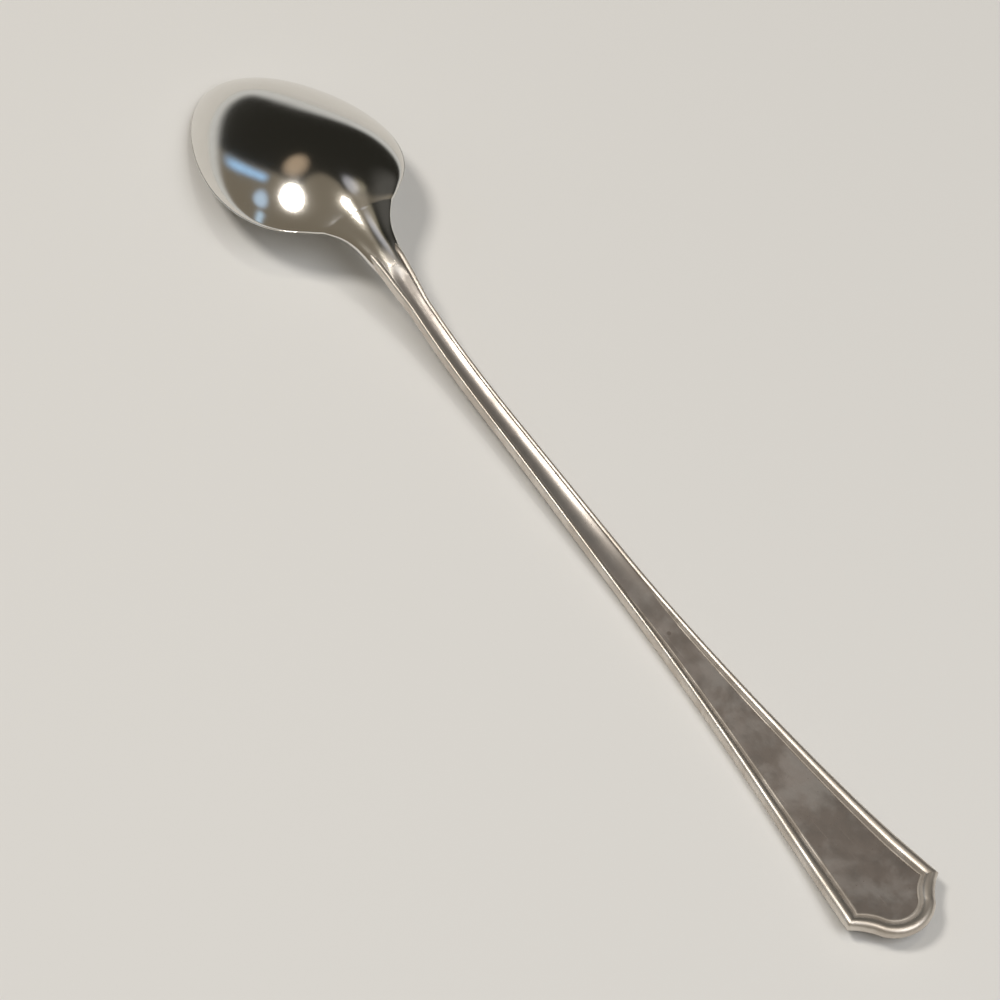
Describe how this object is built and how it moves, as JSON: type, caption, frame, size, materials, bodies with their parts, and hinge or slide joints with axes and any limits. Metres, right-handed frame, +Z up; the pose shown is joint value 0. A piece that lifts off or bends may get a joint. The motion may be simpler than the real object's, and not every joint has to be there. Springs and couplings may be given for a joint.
{
  "type": "iced tea spoon",
  "caption": "Long-handled iced tea spoon with an egg-shaped bowl, a slim stem and a bordered handle with a shaped end, lying face down.",
  "frame": {"origin": "middle of the spoon's footprint on the table, under the middle of its length", "axes": "+X from the handle end to the bowl tip, +Z up through the spoon's back as it lies face down, +Y across"},
  "size_m": [0.194, 0.031, 0.0157],
  "materials": {
    "silver_plate": "silver plate, polished on the bowl and warmly tarnished on the handle",
    "border_plate": "silver plate, polished on the raised beads, dark in the grooves"
  },
  "bodies": {
    "root": {"bowl": "silver_plate", "neck": "silver_plate", "stem": "silver_plate", "blade": "silver_plate", "shaped_end": "silver_plate", "back_border": "border_plate", "front_border": "border_plate"}
  },
  "joints": []
}
